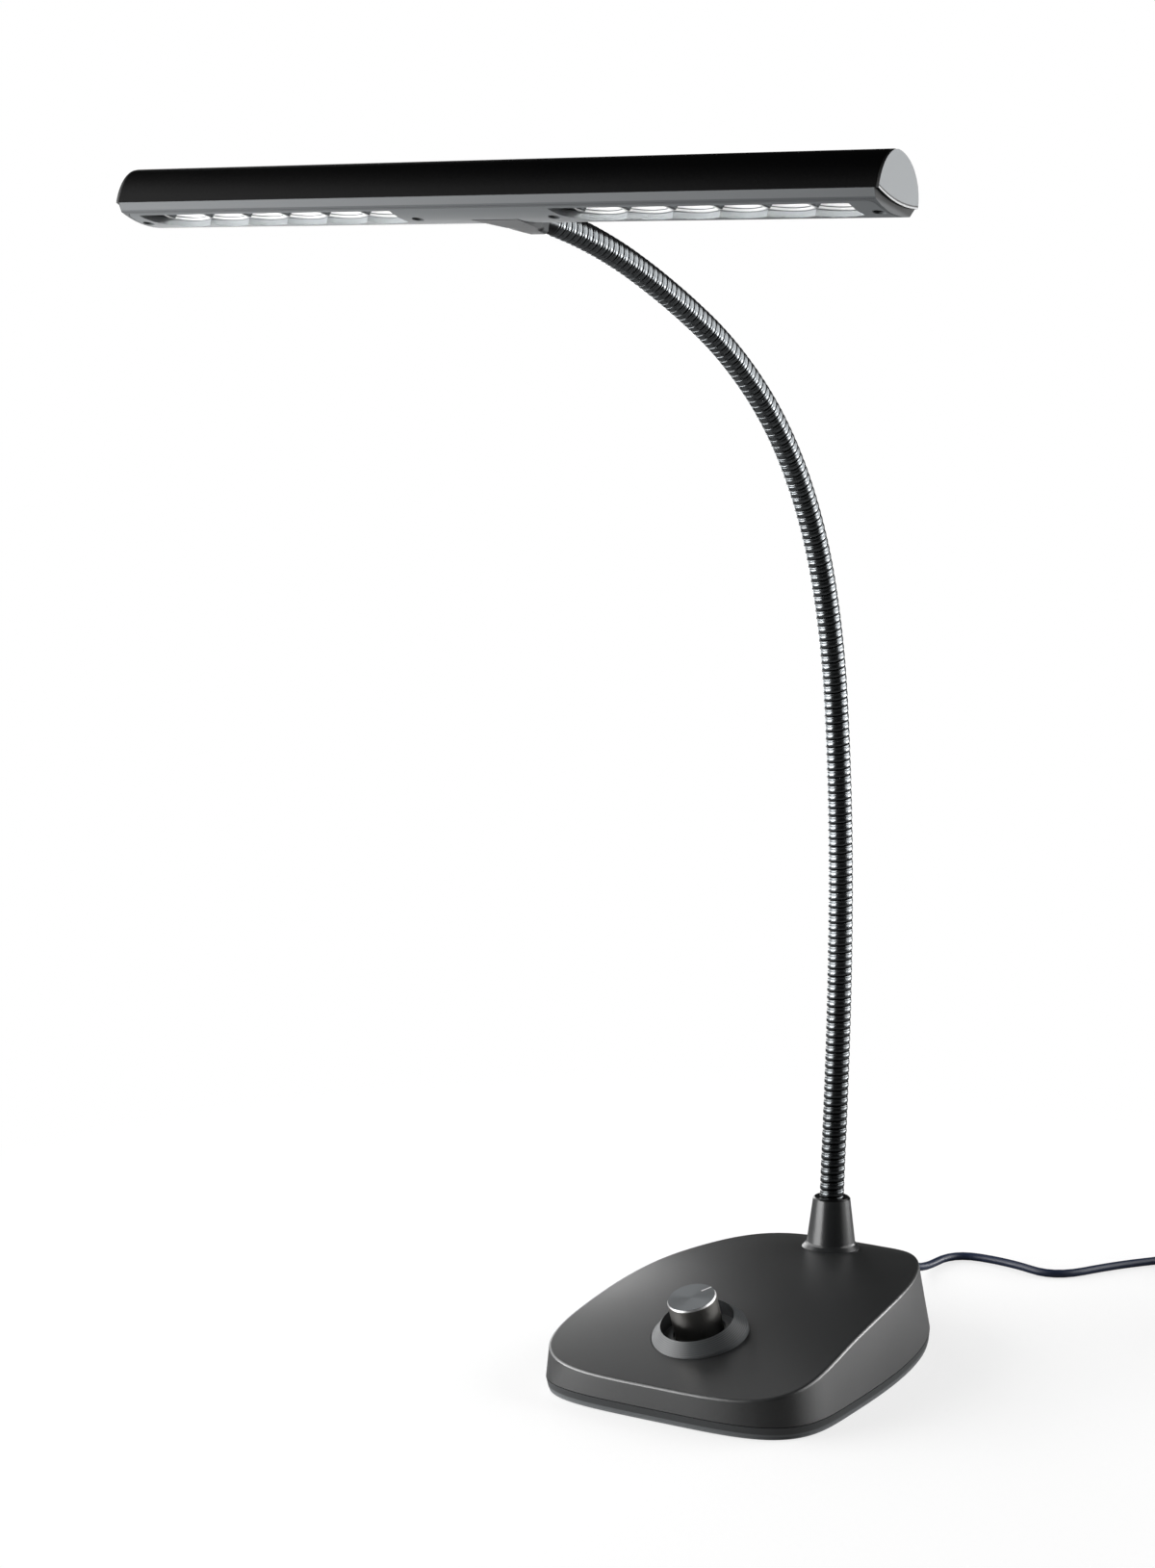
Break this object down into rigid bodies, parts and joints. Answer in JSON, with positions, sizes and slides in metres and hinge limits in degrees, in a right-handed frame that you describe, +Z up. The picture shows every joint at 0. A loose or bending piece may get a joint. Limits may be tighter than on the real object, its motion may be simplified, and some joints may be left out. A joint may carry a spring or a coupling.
{
  "type": "gooseneck piano lamp",
  "caption": "Long-headed LED lamp for a piano or desk, on a gooseneck over a weighted base with a dimmer knob and a coiled cord.",
  "frame": {"origin": "on the underside of the base pad, straight below the foot of the gooseneck", "axes": "+Z up from the table, +X to the right of the base, -Y to the front, where the head reaches out"},
  "size_m": [0.3911, 0.4592, 0.4638],
  "materials": {
    "base_black": "satin moulded black with a fine grain",
    "pad_rubber": "soft matte",
    "ballast_iron": "raw, lightly oiled",
    "screw_steel": "zinc plated",
    "screw_black": "blackened",
    "wire_black": "matte insulation",
    "dish_metal": "turned, dark, glossy",
    "control_steel": "plain",
    "pin_metal": "tinned",
    "board_green": "solder mask",
    "component_black": "moulded packages",
    "ferrule_black": "satin black",
    "cord_rubber": "smooth black sheath",
    "supply_black": "fine grain",
    "blade_brass": "plain",
    "knob_metal": "dark anodised, turned end, bright chamfer",
    "neck_steel": "black nickel, wound",
    "head_black": "satin black paint",
    "tray_grey": "satin silver",
    "panel_grey": "fine matte silver grey",
    "bracket_grey": "satin silver casting",
    "cap_grey": "smooth pale grey",
    "reflector_white": "bright white",
    "led_board_white": "white solder mask",
    "led_yellow": "phosphor"
  },
  "bodies": {
    "base": {"base_cover": "base_black", "base_tray": "base_black", "base_pad": "pad_rubber", "ballast_block": "ballast_iron", "base_screws": "screw_steel", "ballast_screws": "screw_steel", "base_wires": "wire_black", "knob_dish": "dish_metal", "dimmer_control": "control_steel", "control_pins": "pin_metal", "control_washer": "screw_steel", "control_nut": "screw_steel", "dimmer_board": "board_green", "board_components": "component_black", "board_screws": "screw_steel", "neck_ferrule": "ferrule_black", "neck_stud": "screw_steel", "stud_washer": "screw_steel", "stud_nut": "screw_steel", "neck_tube_00": "neck_steel", "cord_grommet": "cord_rubber", "cord_lead": "cord_rubber", "cord_coil": "cord_rubber", "cord_tail": "cord_rubber", "supply_relief": "cord_rubber", "supply_case": "supply_black", "supply_blades": "blade_brass"},
    "knob": {"dimmer_knob": "knob_metal", "knob_grub_screw": "screw_steel", "dimmer_shaft": "control_steel"},
    "neck_01": {"neck_tube_01": "neck_steel"},
    "neck_02": {"neck_tube_02": "neck_steel"},
    "neck_03": {"neck_tube_03": "neck_steel"},
    "neck_04": {"neck_tube_04": "neck_steel"},
    "neck_05": {"neck_tube_05": "neck_steel"},
    "neck_06": {"neck_tube_06": "neck_steel"},
    "neck_07": {"neck_tube_07": "neck_steel"},
    "neck_08": {"neck_tube_08": "neck_steel"},
    "neck_09": {"neck_tube_09": "neck_steel"},
    "head": {"neck_tube_10": "neck_steel", "head_cover": "head_black", "light_tray": "tray_grey", "light_panel": "panel_grey", "neck_bracket": "bracket_grey", "head_wires": "wire_black", "end_cap_left": "cap_grey", "end_cap_right": "cap_grey", "reflector_left": "reflector_white", "reflector_right": "reflector_white", "led_board_left": "led_board_white", "led_board_right": "led_board_white", "led_chips_left": "led_yellow", "led_chips_right": "led_yellow", "panel_screws": "screw_black", "bracket_screws": "screw_steel"}
  },
  "joints": [
    {"name": "knob_turn", "type": "hinge", "parent": "base", "child": "knob", "pos_m": [0, -0.1093, 0.0267], "axis": [-0.0527, -0.3329, 0.9415], "range_deg": [-123, 177]},
    {"name": "neck_bend_01", "type": "hinge", "parent": "base", "child": "neck_01", "pos_m": [0.00009, 0.00107, 0.08003], "axis": [0.9962, -0.0872, 0], "range_deg": [-12, 12]},
    {"name": "neck_sway_02", "type": "hinge", "parent": "neck_01", "child": "neck_02", "pos_m": [0.00024, 0.00271, 0.126], "axis": [-0.0871, -0.996, 0.0209], "range_deg": [-15, 15]},
    {"name": "neck_bend_03", "type": "hinge", "parent": "neck_02", "child": "neck_03", "pos_m": [0.00024, 0.00279, 0.17199], "axis": [0.9962, -0.0872, 0], "range_deg": [-12, 12]},
    {"name": "neck_bend_04", "type": "hinge", "parent": "neck_03", "child": "neck_04", "pos_m": [0.00006, 0.00063, 0.21793], "axis": [0.9962, -0.0872, 0], "range_deg": [-12, 12]},
    {"name": "neck_sway_05", "type": "hinge", "parent": "neck_04", "child": "neck_05", "pos_m": [-0.00037, -0.00419, 0.26367], "axis": [-0.0864, -0.9872, -0.134], "range_deg": [-15, 15]},
    {"name": "neck_bend_06", "type": "hinge", "parent": "neck_05", "child": "neck_06", "pos_m": [-0.00125, -0.01429, 0.30848], "axis": [0.9962, -0.0872, 0], "range_deg": [-18, 12]},
    {"name": "neck_bend_07", "type": "hinge", "parent": "neck_06", "child": "neck_07", "pos_m": [-0.00296, -0.03382, 0.34995], "axis": [0.9962, -0.0872, 0], "range_deg": [-18, 12]},
    {"name": "neck_sway_08", "type": "hinge", "parent": "neck_07", "child": "neck_08", "pos_m": [-0.00559, -0.06387, 0.38446], "axis": [-0.0566, -0.647, -0.7604], "range_deg": [-15, 15]},
    {"name": "neck_bend_09", "type": "hinge", "parent": "neck_08", "child": "neck_09", "pos_m": [-0.00891, -0.10184, 0.41003], "axis": [0.9962, -0.0872, 0], "range_deg": [-18, 12]},
    {"name": "neck_bend_10", "type": "hinge", "parent": "neck_09", "child": "head", "pos_m": [-0.01256, -0.14361, 0.42891], "axis": [0.9962, -0.0872, 0], "range_deg": [-18, 12]}
  ],
  "couplings": [
    {"joint": "neck_bend_03", "follows": "neck_bend_01", "ratio": 1},
    {"joint": "neck_bend_04", "follows": "neck_bend_01", "ratio": 1},
    {"joint": "neck_sway_05", "follows": "neck_sway_02", "ratio": 1},
    {"joint": "neck_bend_07", "follows": "neck_bend_06", "ratio": 1},
    {"joint": "neck_bend_09", "follows": "neck_bend_06", "ratio": 1},
    {"joint": "neck_bend_10", "follows": "neck_bend_06", "ratio": 1}
  ]
}
